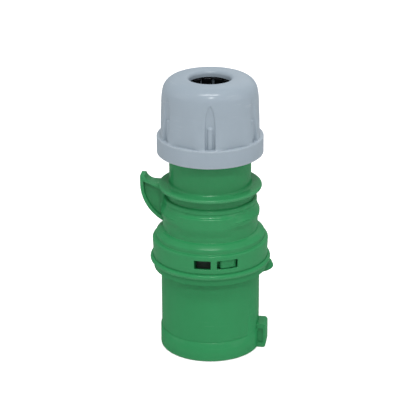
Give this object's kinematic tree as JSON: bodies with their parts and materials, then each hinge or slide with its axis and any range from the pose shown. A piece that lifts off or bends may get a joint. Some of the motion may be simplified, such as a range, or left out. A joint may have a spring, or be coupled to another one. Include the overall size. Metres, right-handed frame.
{
  "type": "pin and sleeve plug",
  "caption": "Round pin-and-sleeve power plug: keyed sleeve over three pins, twist-locked rear housing with a curled finger hook, and a fluted screw gland for the cable.",
  "frame": {"origin": "centre of the sleeve's mouth, in the plane of its rim", "axes": "+Z along the plug's axis from the mouth to the cable entry, +X through the sleeve's key, the finger hook on -X"},
  "size_m": [0.0569, 0.052, 0.1216],
  "materials": {
    "housing_plastic": "satin moulded polyamide",
    "nut_plastic": "satin moulded polyamide",
    "cage_plastic": "moulded",
    "insert_plastic": "moulded",
    "seal_rubber": "matt",
    "contact_brass": "turned and bright",
    "screw_steel": "zinc plated"
  },
  "bodies": {
    "plug_body": {"rear_housing": "housing_plastic", "front_sleeve": "housing_plastic", "housing_gasket": "seal_rubber", "pin_carrier": "insert_plastic", "line_pin": "contact_brass", "neutral_pin": "contact_brass", "earth_pin": "contact_brass", "terminal_screws": "screw_steel", "cable_seal": "seal_rubber"},
    "clamp": {"clamp_cage": "cage_plastic"},
    "nut": {"gland_nut": "nut_plastic"}
  },
  "joints": [
    {"name": "clamp_slide", "type": "slide", "parent": "plug_body", "child": "clamp", "axis": [0, 0, -1], "range_m": [0, 0.003], "deforming": ["cable_seal"]},
    {"name": "nut_turn", "type": "hinge", "parent": "clamp", "child": "nut", "pos_m": [0, 0, 0.0888], "axis": [0, 0, -1], "range_deg": [0, 360]}
  ],
  "couplings": [
    {"joint": "clamp_slide", "follows": "nut_turn", "m_per_rad": 0.00047746}
  ]
}
